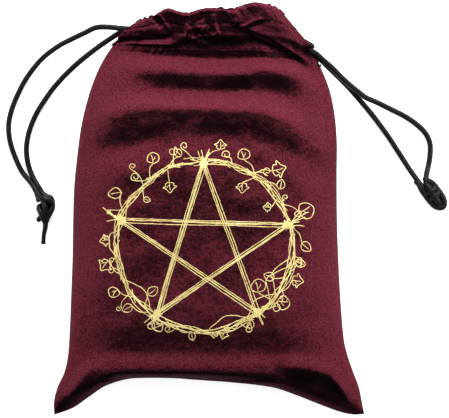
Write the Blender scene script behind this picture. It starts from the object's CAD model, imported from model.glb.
# A velvet drawstring pouch lying on its back, with two black cords, two knots and a printed star.
# Shapes are worked out in millimetres in the CAD frame: +X to the right as seen from above, +Y to
# the mouth, +Z out of the front. They are turned to metres when a mesh is made.
from collections import namedtuple
import math

import bmesh
import bpy
import numpy as np
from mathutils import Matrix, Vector
from mathutils.bvhtree import BVHTree


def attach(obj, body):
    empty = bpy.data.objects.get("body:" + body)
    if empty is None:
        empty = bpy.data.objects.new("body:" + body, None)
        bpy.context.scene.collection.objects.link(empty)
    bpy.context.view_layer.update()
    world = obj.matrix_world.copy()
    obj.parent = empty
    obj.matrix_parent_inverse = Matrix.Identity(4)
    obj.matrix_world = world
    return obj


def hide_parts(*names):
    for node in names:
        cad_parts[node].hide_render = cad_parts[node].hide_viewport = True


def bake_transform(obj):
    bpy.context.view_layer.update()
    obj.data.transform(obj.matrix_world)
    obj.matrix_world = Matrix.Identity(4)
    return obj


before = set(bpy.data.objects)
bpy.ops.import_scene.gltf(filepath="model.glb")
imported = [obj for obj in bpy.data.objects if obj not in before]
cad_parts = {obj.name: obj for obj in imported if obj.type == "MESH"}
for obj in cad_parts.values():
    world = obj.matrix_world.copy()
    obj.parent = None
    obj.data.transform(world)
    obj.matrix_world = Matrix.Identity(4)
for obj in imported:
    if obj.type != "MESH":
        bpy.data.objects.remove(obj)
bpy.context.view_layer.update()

scene = bpy.context.scene
MM = 0.001

MOUTH_Z = 12.0              # middle height of the cord tunnels
CLOTH = 0.95                # thickness of one ply
CAMERA = np.array([8.775, 11.7, 1013.0])
VIEW_Z = 13.0               # height of the level plane on which the design is drawn
VIEW_WIDTH = 202.05         # width the camera sees at that height
VIEW_DISTANCE = CAMERA[2] - VIEW_Z

# grid of each sheet: points across, rows up the body, rows up the gathered heading
ACROSS_COUNT = 181
BODY_COUNT = 200
HEAD_COUNT = 56


# ------------------------------------------------------------------ small maths
def unit(vectors):
    length = np.linalg.norm(vectors, axis=-1, keepdims=True)
    return vectors / np.maximum(1e-12, length)


def running(points):
    """Distance travelled along a line of points."""
    return np.concatenate([[0], np.cumsum(np.linalg.norm(np.diff(points, axis=0), axis=1))])


def interp_rows(at, place, rows):
    """Rows of numbers known at the given places, read at other places."""
    return np.stack([np.interp(at, place, column) for column in rows.T], 1)


def resample(points, step):
    place = running(points)
    count = max(3, int(round(place[-1] / step)) + 1)
    at = np.linspace(0, place[-1], count)
    return interp_rows(at, place, points), at


def path(points):
    """Catmull-Rom curve by chord length through points, as a function of 0..1."""
    points = np.array(points, float)
    last = len(points) - 1
    chords = np.linalg.norm(np.diff(points, axis=0), axis=1)
    knots = np.concatenate([[0], np.cumsum(np.maximum(1e-9, chords))])
    knots /= knots[-1]
    ahead = np.minimum(np.arange(last + 1) + 1, last)
    behind = np.maximum(np.arange(last + 1) - 1, 0)
    slopes = (points[ahead] - points[behind]) / (knots[ahead] - knots[behind])[:, None]

    def at(place):
        place = np.clip(np.asarray(place, float), 0, 1)
        i = np.clip(np.searchsorted(knots, place, side="right") - 1, 0, last - 1)
        width = knots[i + 1] - knots[i]
        part = (place - knots[i]) / width
        square, cube = part**2, part**3
        return ((2 * cube - 3 * square + 1)[..., None] * points[i]
                + ((cube - 2 * square + part) * width)[..., None] * slopes[i]
                + (-2 * cube + 3 * square)[..., None] * points[i + 1]
                + ((cube - square) * width)[..., None] * slopes[i + 1])

    return at


def smooth(x, low=0.0, high=1.0):
    x = np.clip((np.asarray(x, float) - low) / (high - low), 0, 1)
    return x * x * (3 - 2 * x)


def bell(x, width):
    return np.exp(-((x / width) ** 2))


def noise(x, y, seed, size=1.0):
    """Smooth value noise, about -1..1, with features of size."""
    cells = 97
    grid = np.random.RandomState(seed).uniform(-1, 1, (cells, cells))
    x = np.asarray(x, float) / size + 31.7
    y = np.asarray(y, float) / size + 17.3
    i, j = np.floor(x).astype(int), np.floor(y).astype(int)
    part_x, part_y = x - i, y - j
    part_x = part_x**3 * (part_x * (6 * part_x - 15) + 10)
    part_y = part_y**3 * (part_y * (6 * part_y - 15) + 10)

    def row(j):
        first, second = grid[i % cells, j % cells], grid[(i + 1) % cells, j % cells]
        return first * (1 - part_x) + second * part_x

    return row(j) * (1 - part_y) + row(j + 1) * part_y


def layered_noise(x, y, seed, size, layers=3):
    return sum(noise(x, y, seed + 7 * k, size / 2**k) / 2**k for k in range(layers))


def line_distance(x, y, line):
    """Distance to a broken line, side of it (positive on its left), way along it, and its length."""
    best, side, run = np.full(x.shape, 1e9), np.zeros_like(x), np.zeros_like(x)
    place = running(line)
    for i in range(len(line) - 1):
        length = place[i + 1] - place[i]
        dx, dy = (line[i + 1] - line[i]) / length
        from_x, from_y = x - line[i, 0], y - line[i, 1]
        along = np.clip(from_x * dx + from_y * dy, 0, length)
        off_x, off_y = from_x - dx * along, from_y - dy * along
        distance = np.hypot(off_x, off_y)
        near = distance < best
        best = np.where(near, distance, best)
        side = np.where(near, -dy * off_x + dx * off_y, side)
        run = np.where(near, place[i] + along, run)
    return best, side, run, place[-1]


# ------------------------------------------------------------------ outline: x, y as in the CAD
LEFT = path([
    (-68.4, -81.6), (-68.6, -76.0), (-66.8, -69.0), (-63.5, -62.0), (-61.7, -54.5), (-60.8, -43.7),
    (-59.9, -22.0), (-59.4, -7.6), (-59.2, 6.8), (-58.7, 22.0), (-57.2, 37.0), (-55.4, 50.0),
    (-52.0, 63.8), (-48.6, 73.0), (-45.0, 80.1), (-41.6, 85.2)])
RIGHT = path([
    (72.2, -81.3), (71.4, -77.4), (69.6, -69.0), (66.8, -61.6), (64.3, -54.5), (62.5, -47.2),
    (60.9, -29.0), (59.8, -7.6), (59.3, 10.0), (59.2, 28.0), (59.3, 42.0), (58.4, 53.5),
    (56.4, 64.0), (54.6, 69.6), (53.2, 73.0), (52.0, 75.6)])
BOTTOM = path([
    (-68.4, -81.6), (-60.0, -78.4), (-51.6, -72.6), (-45.0, -68.2), (-34.6, -65.0),
    (-20.0, -64.2), (-5.4, -65.2), (12.0, -66.4), (30.6, -68.8), (41.4, -72.4), (50.8, -76.2),
    (60.8, -80.0), (67.0, -81.4), (72.2, -81.3)])
NECK = path([
    (-41.6, 85.2), (-34.0, 85.0), (-24.0, 84.0), (-10.0, 83.0), (4.0, 82.6), (18.0, 82.6),
    (29.0, 82.1), (36.0, 81.0), (41.0, 79.6), (44.5, 77.6), (47.6, 76.0), (52.0, 75.6)])
HEAD_LEFT = path([(-41.6, 85.2), (-39.4, 88.0), (-37.4, 90.9), (-35.0, 93.1), (-32.0, 95.2)])
HEAD_RIGHT = path([
    (52.0, 75.6), (50.6, 79.4), (48.6, 83.2), (44.6, 88.4), (40.0, 94.0), (36.0, 98.8),
    (33.2, 101.2)])
TOP_FRONT = path([
    (-32.0, 95.2), (-29.0, 96.4), (-24.2, 97.8), (-20.6, 100.2), (-16.6, 101.7), (-12.4, 100.4),
    (-9.0, 99.3), (-4.6, 100.4), (1.0, 101.7), (7.8, 101.5), (11.4, 100.8), (13.4, 101.8),
    (17.0, 103.2), (23.0, 104.5), (29.5, 103.2), (33.2, 101.2)])
TOP_BACK = path([
    (-31.0, 94.6), (-27.0, 96.9), (-22.6, 98.6), (-19.0, 99.4), (-13.0, 101.0), (-9.4, 100.6),
    (-4.0, 99.6), (0.0, 100.9), (4.8, 102.2), (9.8, 101.9), (14.4, 101.0), (19.0, 102.4),
    (25.0, 103.6), (29.0, 102.2), (32.4, 100.2)])
# where the cords leave the slits, and which way
EXIT = {"left": np.array([-38.2, 91.0, MOUTH_Z]), "right": np.array([50.0, 81.4, MOUTH_Z])}
OUT = {"left": np.array([-0.96, -0.28, 0.0]), "right": np.array([0.72, -0.694, 0.0])}


def coons(along, up, bottom, top, left, right):
    """Points 0..1 along and 0..1 up, between four boundary curves."""
    along, up = np.broadcast_arrays(along, up)
    x, y = along[..., None], up[..., None]
    return ((1 - y) * bottom(along) + y * top(along) + (1 - x) * left(up) + x * right(up)
            - ((1 - x) * (1 - y) * bottom(0.0) + x * (1 - y) * bottom(1.0)
               + (1 - x) * y * top(0.0) + x * y * top(1.0)))


def seam_z(across, up):
    """Height of the line where the sheets meet: it drops to the bottom seam and to the neck."""
    low = 5.5 + 6.0 * (1 - across * across)
    z = 15.0 - (15.0 - low) * np.exp(-((up / 0.13) ** 2))
    return z - 3.0 * smooth(up, 0.7, 1.0)


# ------------------------------------------------------------------ height of the front's middle
# y, slope of the front along the middle; positive faces the mouth
SLOPES = np.array([
    (84.15, -0.22), (80.55, -0.26), (79.425, 0.0), (78.3, 0.9), (76.95, 2.0), (75.6, 2.2),
    (74.25, 1.1), (73.125, 0.30), (71.775, -0.05), (70.2, -0.30), (66.375, -0.32), (64.8, -0.05),
    (63.675, 0.35), (62.325, 1.1), (60.75, 2.0), (58.95, 2.1), (57.6, 1.1), (56.25, 0.16),
    (54.9, -0.12), (52.65, -0.20), (48.6, -0.20), (45.45, -0.08), (42.3, 0.08), (39.15, 0.17),
    (34.65, 0.14), (30.15, 0.08), (25.65, 0.0), (20.25, 0.01), (13.5, 0.05), (2.25, 0.09),
    (-11.25, 0.12), (-22.5, 0.16), (-31.5, 0.17), (-36.0, 0.14), (-39.6, 0.07), (-43.2, -0.03),
    (-46.35, -0.11), (-49.5, -0.10), (-51.3, 0.02), (-53.1, 0.22), (-54.9, 0.46), (-56.7, 0.46),
    (-58.5, 0.32), (-60.075, 0.14), (-61.425, -0.06), (-62.325, -0.5), (-63.225, -1.7),
    (-63.99, -3.6), (-64.8, -6.5), (-65.61, -12.0)])
# y, amount taken off the slope because the filled bag is a dome; the pile leans as much further
# to the mouth
DOME = np.array([
    (84.15, 0.0), (80.1, -0.10), (76.05, -0.20), (58.95, -0.20), (55.35, -0.15), (38.25, -0.12),
    (25.65, -0.05), (13.5, 0.07), (2.25, 0.17), (-11.25, 0.29), (-29.25, 0.42), (-47.25, 0.46),
    (-58.05, 0.44), (-61.2, 0.22), (-65.61, 0.0)])
PROFILE_TOP, PROFILE_END = SLOPES[0, 0], SLOPES[-1, 0]
PROFILE_TOP_Z, PROFILE_END_Z = 18.8, 11.7
PROFILE_Y = np.linspace(PROFILE_TOP, PROFILE_END, 6600)
HOLLOW = (80.1, 55.35)      # y range of the hollows near the neck


def read_down(y, stations, values):
    """Values at stations that run down from the mouth, read at y."""
    return np.interp(-y, -np.asarray(stations), values)


def middle_profile():
    slope = read_down(PROFILE_Y, *SLOPES.T) - read_down(PROFILE_Y, *DOME.T)
    rise = np.cumsum(-np.diff(PROFILE_Y) * (slope[1:] + slope[:-1]) / 2)
    z = PROFILE_TOP_Z + np.concatenate([[0], rise])
    # the last 3.06 mm bends so that it ends at the bottom seam's height
    return z - (z[-1] - PROFILE_END_Z) * np.clip((-62.55 - PROFILE_Y) / 3.06, 0, 1) ** 2


def side_profile():
    """The same line out at the sides, where the hollows have run out."""
    stations = [PROFILE_TOP, HOLLOW[0], 76.05, 58.5, HOLLOW[1], PROFILE_END]
    heights = [read_down(y, PROFILE_Y, MIDDLE_Z) for y in stations]
    plain = read_down(PROFILE_Y, stations, heights)
    softened = np.convolve(np.pad(plain, 100, mode="edge"), np.ones(201) / 201, mode="valid")
    in_hollow = (PROFILE_Y < HOLLOW[0]) & (PROFILE_Y > HOLLOW[1])
    return np.where(in_hollow, softened, MIDDLE_Z)


MIDDLE_Z = middle_profile()
SIDE_Z = side_profile()


# ------------------------------------------------------------------ grid
def eased(count, ease):
    """0..1 in steps that close up towards both ends."""
    even = np.linspace(0, 1, count)
    return (1 - ease) * even + ease * (0.5 - 0.5 * np.cos(math.pi * even))


ALONG = eased(ACROSS_COUNT, 0.72)
MIDDLE = ACROSS_COUNT // 2
ALONG[MIDDLE] = 0.5
BODY_UP = eased(BODY_COUNT, 0.74)
HEAD_UP = eased(HEAD_COUNT, 0.5)[1:]
ROWS_UP = np.concatenate([BODY_UP, 1 + HEAD_UP])
ROW_COUNT = len(ROWS_UP)
# body rows below this one belong to the pouch; above it the cloth gathers towards the slits
SPLIT = int(np.argmin(np.abs(BODY_UP - 0.62)))

# y of each body row along the middle, and the y at which the camera sees it on the view plane
ROW_Y = coons(np.full(BODY_COUNT, 0.5), BODY_UP, BOTTOM, NECK, LEFT, RIGHT)[:, 1]
SEEN_Y = CAMERA[1] + ((ROW_Y - CAMERA[1]) * VIEW_DISTANCE
                      / (CAMERA[2] - read_down(ROW_Y, PROFILE_Y, MIDDLE_Z)))


def spread(front):
    """x and y of a whole sheet, its across (-1..1) and its up (0..1 body, 1..2 heading)."""
    along, up = np.meshgrid(ALONG, BODY_UP)
    body = coons(along, up, BOTTOM, NECK, LEFT, RIGHT)
    head_along, head_up = np.meshgrid(ALONG, HEAD_UP)
    top = TOP_FRONT if front else TOP_BACK
    head = coons(head_along, head_up, NECK, top, HEAD_LEFT, HEAD_RIGHT)
    across = 2 * np.concatenate([along, head_along]) - 1
    return np.concatenate([body, head]), across, np.concatenate([up, 1 + head_up])


# ------------------------------------------------------------------ folds
# Long soft grooves running left to right: depth, width towards the mouth, width below, x, y points
GROOVES = [
    (-1.0, 6.0, 7.0, [(-54.45, 37.35), (-42.75, 38.25), (-24.75, 40.05), (-6.75, 41.85)]),
    (-1.2, 6.0, 6.0, [(-60.75, -29.25), (-51.75, -42.75), (-42.75, -49.5)])]
GROOVE_FADE = 12.0

# fold that runs out to the bottom right corner
CORNER = np.array([
    (30.15, -57.6), (36.0, -58.05), (42.75, -59.175), (49.5, -60.3), (55.35, -62.1),
    (59.4, -66.15), (63.9, -72.45), (67.95, -78.3)])
# ridge to the bottom left corner: start, end, height, width
LEFT_RIDGE = (np.array([-50.0, -57.0]), np.array([-65.5, -78.0]), 1.9, 3.6)

# Creases of the heading: height (negative is a groove), width left of the line, width right of it,
# length over which the ends fade, x, y points
CREASES = [
    (0.95, 2.1, 1.5, 5.0, [(-39.15, 83.7), (-32.85, 84.42), (-24.75, 84.51), (-15.75, 85.05),
                           (-10.35, 86.85), (-8.1, 89.55)]),
    (-0.75, 0.9, 1.3, 3.0, [(-29.25, 88.425), (-23.85, 88.02), (-17.55, 88.29), (-13.95, 90.0)]),
    (0.60, 0.75, 0.75, 2.0, [(-21.6, 99.9), (-19.8, 97.2), (-17.55, 94.05), (-15.75, 91.35)]),
    (-0.70, 1.3, 1.3, 2.0, [(-23.85, 98.55), (-21.6, 95.4), (-18.9, 92.25)]),
    (0.70, 0.8, 0.8, 2.0, [(-8.55, 94.95), (-7.65, 91.8), (-8.55, 88.2), (-6.75, 85.95)]),
    (0.75, 0.8, 1.0, 2.0, [(4.05, 99.45), (4.05, 94.95), (5.4, 90.45), (3.6, 86.85)]),
    (-0.80, 1.0, 1.0, 2.0, [(-1.8, 100.35), (-1.35, 97.2), (-2.25, 94.5)]),
    (0.70, 1.0, 1.0, 2.0, [(13.05, 100.35), (14.4, 97.2), (14.4, 93.15)]),
    (0.50, 0.6, 0.8, 2.0, [(16.2, 92.475), (18.9, 94.275), (22.5, 95.625), (27.45, 96.975)]),
    (-0.60, 1.1, 1.6, 3.0, [(17.1, 90.9), (21.15, 93.15), (27.45, 94.95)])]

# broad fold of the heading, from near the middle down to the right shoulder
BROAD_FOLD = np.array([(8.55, 95.4), (48.6, 75.15)])


def groove(x, y, depth, above, below, points):
    line = path(points)(np.linspace(0, 1, 300))
    off = y - np.interp(x, line[:, 0], line[:, 1])
    inner, outer = GROOVE_FADE, GROOVE_FADE * 0.3
    ends = (smooth(x, line[0, 0] - outer, line[0, 0] + inner)
            * (1 - smooth(x, line[-1, 0] - inner, line[-1, 0] + outer)))
    return depth * bell(off, np.where(off > 0, above, below)) * ends


def front_folds(x, y, across, up):
    """Grooves and the broad, quiet unevenness of a half filled bag."""
    height = sum(groove(x, y, *entry) for entry in GROOVES)
    calm = (np.clip(1 - np.abs(across) ** 6, 0, 1) * smooth(up, 0.02, 0.12)
            * (1 - 0.6 * smooth(up, 0.85, 1.0)))
    uneven = 1.1 * layered_noise(x, y, 11, 30.0, 2) + 0.45 * layered_noise(x, y, 5, 11.0, 2)
    return height + calm * uneven


def corner_zone(x, y):
    """Depth into the fall of cloth below the right corner's fold."""
    distance, side, run, _ = line_distance(x, y, CORNER)
    return np.where(side < 0, distance, 0) * smooth(run, 0.0, 12.0)


def corner_folds(x, y, up):
    """Ridges that run out to the two bottom corners."""
    distance, side, run, total = line_distance(x, y, CORNER)
    height = (1.5 * bell(distance, np.where(side > 0, 5.0, 2.6)) * smooth(run, 0, 12.0)
              * (1 - smooth(run, total - 9.0, total)))
    height = height - 0.30 * np.minimum(corner_zone(x, y), 11.0) * smooth(up, 0.0, 0.035)
    start, end, rise, width = LEFT_RIDGE
    length = np.linalg.norm(end - start)
    dx, dy = (end - start) / length
    along = ((x - start[0]) * dx + (y - start[1]) * dy) / length
    off = (x - start[0]) * -dy + (y - start[1]) * dx
    ends = smooth(along, -0.25, 0.25) * (1 - smooth(along, 0.62, 1.02))
    return height + rise * bell(off, width) * ends


def gathers(along, up, seed):
    """Pleats of the gathered heading: uneven, wandering a little, as height -1..1."""
    pleats = along * 92.0
    wander = (1.5 * noise(pleats, up * 3.0, seed + 3, 9.0)
              + 0.8 * noise(pleats, up * 9.0, seed + 5, 4.0))
    phase = 2 * math.pi * (along * 12.5 + 0.9 * noise(pleats, 0, seed, 11.0)) + 0.55 * wander
    return 0.68 * np.sin(phase) + 0.32 * np.sin(2.1 * phase + 1.3 + 0.6 * wander)


def warped_noise(x, y, seed, reach, size, layers):
    """Noise whose features are dragged about by up to reach."""
    return layered_noise(x + reach * noise(x, y, seed, 9.0), y + reach * noise(x, y, seed + 1, 9.0),
                         seed + 2, size, layers)


def head_creases(x, y):
    height = 0.85 * np.exp(-(((x + 24.5) / 7.0) ** 2) - (((y - 91.2) / 2.6) ** 2))
    for rise, left, right, fade, points in CREASES:
        distance, side, run, total = line_distance(x, y, np.array(points))
        ends = smooth(run, 0, fade) * (1 - smooth(run, total - fade, total))
        height = height + (rise * bell(distance, np.where(side > 0, left, right))
                           * (0.15 + 0.85 * ends))
    return height


def broad_fold(x, y):
    """A lip, with the cloth behind it falling off to the edge."""
    start, end = BROAD_FOLD
    length = np.linalg.norm(end - start)
    dx, dy = (end - start) / length
    along = ((x - start[0]) * dx + (y - start[1]) * dy) / length
    bow = 1.3 * np.sin(math.pi * np.clip(along, 0, 1))
    off = -(x - start[0]) * dy + (y - start[1]) * dx - bow
    ends = smooth(along, 0.02, 0.30) * (1 - smooth(along, 0.66, 0.98))
    lip = smooth(off, -0.9, 1.2) * np.exp(-np.maximum(off - 0.8, 0) / 11.0)
    return ends * (1.9 * lip - 0.5 * bell(off + 2.4, 2.4))


# ------------------------------------------------------------------ heights of the two sheets
def profile_place(x, y, up):
    """The y at which each point of the front reads the profile of the middle."""
    place = np.interp(up, BODY_UP, SEEN_Y)
    # the lowest fold runs level; below it the cloth is stretched out to the corners
    level_y = -58.95
    level = np.where(y < ROW_Y[0], y + SEEN_Y[0] - ROW_Y[0], np.interp(y, ROW_Y, SEEN_Y))
    rim = BOTTOM(np.linspace(0, 1, 400))
    rim_y = np.minimum(-65.25, np.interp(x, rim[:, 0], rim[:, 1]))
    stretched = level_y + (level - level_y) * (level_y - PROFILE_END) / (level_y - rim_y)
    level = np.where(level > level_y, level, stretched)
    share = smooth(-level, 20.25, 40.5)
    place = place * (1 - share) + level * share
    # the folds below the neck slant
    place = (place + 6.6 * smooth(x, 12.0, 46.0) * bell(place - 46.0, 13.0)
             + 5.0 * smooth(-x, 18.0, 46.0) * bell(place - 40.0, 12.0))
    wander = noise(x, place * 0.4, 63, 24.0) * smooth(up, 0.1, 0.3) * (1 - smooth(up, 0.93, 1.0))
    return place - 1.6 * smooth(x, 10.0, 40.0) * bell(place - 74.0, 8.0) + 1.2 * wander


def front_height(x, y, across, up):
    """Height of the front sheet, and how much further its pile leans to the mouth."""
    head = np.clip(up - 1, 0, 1)
    body_up = np.clip(up, 0, 1)
    along = (across + 1) / 2
    inset = 1 - np.abs(across)
    edge = smooth(inset, 0.0, 0.16)

    # body: the profile, rounded down to the side seams
    place = profile_place(x, y, body_up)
    lean = read_down(place, *DOME.T) * (1 - smooth(up, 0.93, 1.0))
    outward = smooth(np.abs(x - 6.0), 24.0, 60.0)
    line = (read_down(place, PROFILE_Y, MIDDLE_Z) * (1 - outward)
            + read_down(place, PROFILE_Y, SIDE_Z) * outward)
    rounding = np.maximum(1e-9, 1 - np.abs(across) ** 3.4) ** 0.66
    body = seam_z(across, body_up) + 0.12 + (line - seam_z(0, body_up)) * rounding
    folds = front_folds(x, y, across, body_up) + corner_folds(x, y, body_up)
    body = body + folds * edge * smooth(body_up, 0.0, 0.05)
    # pull lines that run down from the gathers
    body = body + edge * smooth(body_up, 0.90, 1.0) * 0.16 * gathers(along, 0, 4)
    body = body + edge * 0.16 * smooth(body_up, 0.74, 0.92) * noise(x, y * 0.22, 71, 7.0)

    # heading: a low soft roll over the cords, rising a little to the mouth
    over_cords = smooth(head, 0.0, 0.34)
    base = (MOUTH_Z + 1.0 + 2.8 * over_cords
            + 1.5 * smooth(inset, 0.0, 0.25) * (1 - smooth(head, 0.0, 0.42))
            + 3.6 * np.sin(math.pi * np.clip(along, 0, 1))
            + 0.11 * (y - 86.0) * smooth(inset, 0.0, 0.3))
    height = body * (1 - over_cords) + base * over_cords
    pleats = gathers(along, head, 4)
    pleat_share = 0.10 + 0.42 * bell(x + 3.0, 13.0)
    slack = warped_noise(x, y, 44, reach=1.6, size=10.0, layers=2)
    height = height + over_cords * (0.16 * slack + pleat_share * 0.42 * pleats)
    # crumpled patch near the middle
    crumple = np.exp(-((np.abs(x + 1.5) / 6.8) ** 3) - ((np.abs(y - 89.8) / 4.6) ** 3))
    height = height + crumple * (0.30 + 0.95 * layered_noise(x, y * 0.8, 21, 3.8, 3))
    height = height + head_creases(x, y) * smooth(head, 0.0, 0.10) * smooth(inset, 0.02, 0.16)
    height = height + broad_fold(x, y) * smooth(up, 0.86, 0.97) * edge
    # the upper seam row presses in lightly, and the mouth's edge rolls over
    height = height - 0.16 * bell(head - 0.60, 0.035)
    height = height + smooth(head, 0.62, 1.0) * (0.16 * pleats + 0.22 * slack)
    return height - 0.9 * smooth(head, 0.86, 1.0) ** 2, lean


def back_height(x, y, across, up):
    head = np.clip(up - 1, 0, 1)
    body_up = np.clip(up, 0, 1)
    along = (across + 1) / 2
    edge = smooth(1 - np.abs(across), 0.0, 0.16)
    bulge = np.maximum(0, 1 - across * across)
    rise = bulge ** 0.80 * (1 - (1 - np.minimum(body_up / 0.34, 1.0)) ** 2) ** 0.80
    upper = smooth(body_up, 0.60, 1.0)
    hang = 20.0 * rise * (1 - upper) + 7.2 * bulge ** 0.8 * upper
    raw = seam_z(across, body_up) - 0.12 - hang
    raw = raw + edge * smooth(body_up, 0.02, 0.1) * (0.9 * layered_noise(x, y, 51, 22.0, 3))
    raw = raw - 0.5 * corner_folds(x, y, body_up) * edge
    raw = raw - edge * 0.7 * smooth(body_up, 0.7, 1.0) * gathers(along, 0, 9)
    # it lies on a table: softly flattened where it would hang below it
    softness = 0.9
    resting = softness * np.logaddexp(0, (raw + 0.02) / softness)
    # heading, bulging down round the cords
    under_cords = MOUTH_Z - 3.5 - 4.4 * np.sin(math.pi * np.clip(along, 0, 1)) ** 0.8
    in_head = smooth(head, 0.0, 0.16)
    base = resting * (1 - in_head) + under_cords * in_head
    tube = np.sqrt(np.clip(1 - ((head - 0.32) / 0.30) ** 2, 0, 1))
    pleats = gathers(along, head, 9)
    slack = warped_noise(x, y, 54, reach=2.2, size=7.5, layers=3)
    ruffle = (0.30 + 0.45 * tube) * (0.8 * pleats + 0.6 * slack) * smooth(head, 0.0, 0.15)
    height = base - 1.9 * tube - ruffle
    # the two seam rows, and the loose ruffle beyond them
    height = height + 0.5 * bell(head - 0.60, 0.035) + 0.4 * bell(head - 0.045, 0.03)
    height = height - smooth(head, 0.60, 1.0) * (0.2 + 0.9 * pleats + 0.8 * slack)
    return np.maximum(height, 0.04)


def edge_gap(points):
    """Distance of each grid point from the left, right, bottom and top edges, along the grid."""
    rows, columns = points.shape[:2]
    step_x = np.linalg.norm(np.diff(points, axis=1), axis=-1)
    step_y = np.linalg.norm(np.diff(points, axis=0), axis=-1)
    left = np.concatenate([np.zeros((rows, 1)), np.cumsum(step_x, axis=1)], axis=1)
    bottom = np.concatenate([np.zeros((1, columns)), np.cumsum(step_y, axis=0)])
    return left, left[:, -1:] - left, bottom, bottom[-1:] - bottom


def thicken(points, front, up):
    """Outer and inner surfaces with rolled edges, and the outward normals."""
    normals = unit(np.cross(np.gradient(points, axis=1), np.gradient(points, axis=0)))
    if not front:
        normals = -normals
    left, right, bottom, top = edge_gap(points)
    sides = np.minimum(left, right)
    head = smooth(up, 1.0, 1.06)
    # folded hems are double
    full = CLOTH + 0.75 * head * np.exp(-np.minimum(top, sides) / 3.0)
    inset = np.clip(np.minimum(sides, np.minimum(bottom, top)) / 0.9, 0, 1)
    thickness = full * np.sqrt(np.clip(1 - (1 - inset) ** 2, 0, 1))
    outer = points - normals * ((full - thickness) * 0.5 * head)[..., None]
    inner = outer - normals * (thickness * 0.999 + 0.001)[..., None]
    if not front:
        outer[..., 2] = np.maximum(outer[..., 2], 0.03)
    return outer, inner, normals


def pile_lay(x, y, across, up, lean):
    """How far the pile leans to the mouth: less where the cords bunch the cloth."""
    lay = (1.0 - 0.38 * smooth(up, 0.965, 1.02)
           - 0.10 * smooth(up, 1.0, 1.1) * smooth(np.abs(across), 0.5, 0.9))
    if lean is not None:
        lay = lay + lean / DOME[:, 1].max()
        lay = lay * (1.0 - 0.50 * smooth(corner_zone(x, y), 0.5, 5.0) * smooth(1 - up, 0.8, 0.9))
    return lay


Sheet = namedtuple("Sheet", "outer inner normals lay share front")


def make_sheet(front):
    flat, across, up = spread(front)
    x, y = flat[..., 0], flat[..., 1]
    if front:
        z, lean = front_height(x, y, across, up)
    else:
        z, lean = back_height(x, y, across, up), None
    outer, inner, normals = thicken(np.dstack([flat, z]), front, up)
    # share of a slit's slide: none in the body or on the middle line, all at the slit
    share = np.clip(np.abs(across), 0, 1) * smooth(up, BODY_UP[SPLIT], 1.0)
    return Sheet(outer, inner, normals, pile_lay(x, y, across, up, lean), share, front)


# ------------------------------------------------------------------ meshes
def mesh_object(name, verts, faces, vertex_normals=None, material=None, shade_smooth=True):
    mesh = bpy.data.meshes.new(name)
    mesh.from_pydata((np.asarray(verts) * MM).tolist(), [], faces)
    mesh.validate()
    if shade_smooth:
        mesh.shade_smooth()
    if vertex_normals is not None:
        mesh.normals_split_custom_set_from_vertices(
            [tuple(normal) for normal in np.asarray(vertex_normals, float)])
    mesh.update()
    obj = bpy.data.objects.new(name, mesh)
    scene.collection.objects.link(obj)
    if material is not None:
        mesh.materials.append(material)
    return obj


def grid_quads(index):
    corners = [index[:-1, :-1], index[:-1, 1:], index[1:, 1:], index[1:, :-1]]
    return np.stack(corners, -1).reshape(-1, 4)


def sheet_block(name, sheet, rows, columns):
    """A closed piece of a sheet: outer face, inner face and four walls, with its pile's lay."""
    part = (slice(*rows), slice(*columns))
    outer, inner, normals = sheet.outer[part], sheet.inner[part], sheet.normals[part]
    verts = np.concatenate([outer.reshape(-1, 3), inner.reshape(-1, 3)])
    vertex_normals = np.concatenate([normals.reshape(-1, 3), -normals.reshape(-1, 3)])
    count = outer.shape[0] * outer.shape[1]
    index = np.arange(count).reshape(outer.shape[:2])
    top = grid_quads(index)
    faces = [top, top[:, [0, 3, 2, 1]] + count]
    for line, flip in ((index[0], False), (index[-1], True),
                       (index[:, 0], True), (index[:, -1], False)):
        low = line + count
        wall = np.stack([line[:-1], low[:-1], low[1:], line[1:]], -1)
        faces.append(wall[:, ::-1] if flip else wall)
    faces = np.concatenate(faces)
    if not sheet.front:
        faces = faces[:, ::-1]
    obj = mesh_object(name, verts, faces.tolist(), vertex_normals, VELVET)
    lay = obj.data.attributes.new("lay", "FLOAT", "POINT")
    lay.data.foreach_set("value", np.asarray(np.tile(sheet.lay[part].ravel(), 2), np.float32))
    return obj


def weights(obj):
    """Bends a piece between two bodies with given shares of the second."""
    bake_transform(obj)


def side_normals(points):
    """Two directions square to a line, carried along it without twist."""
    tangents = unit(np.gradient(points, axis=0))
    first = np.cross(tangents[0], [0, 0, 1.0])
    if np.linalg.norm(first) < 1e-3:
        first = np.cross(tangents[0], [0, 1.0, 0])
    carried = [unit(first)]
    for tangent in tangents[1:]:
        last = carried[-1]
        carried.append(unit(last - tangent * np.dot(last, tangent)))
    carried = np.array(carried)
    return carried, np.cross(tangents, carried)


def spokes(sides, first, second):
    """Unit vectors all round each point of a line."""
    angles = np.linspace(0, 2 * math.pi, sides, endpoint=False)[:, None]
    return np.cos(angles) * first[:, None] + np.sin(angles) * second[:, None]


BRAID_PITCH = 3.1
CORD_STEP = 0.42


def cord_rings(points, radius, sides, braid=0.035, phase=0.0):
    """Rings of a braided cord: positions, smooth normals and distance along."""
    points, place = resample(points, CORD_STEP)
    normals = spokes(sides, *side_normals(points))
    angle = np.linspace(0, 2 * math.pi, sides, endpoint=False)
    twist = 2 * math.pi / BRAID_PITCH * place[:, None]
    pattern = np.cos(4 * angle + twist + phase) * np.cos(4 * angle - twist)
    swollen = radius * (1 + braid * pattern - 0.4 * braid)
    return points[:, None] + swollen[..., None] * normals, normals, place


def tube_quads(rings, sides):
    index = np.arange(rings * sides).reshape(rings, sides)
    turned = np.roll(index, -1, 1)
    return np.stack([index[:-1], turned[:-1], turned[1:], index[1:]], -1).reshape(-1, 4)


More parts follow.
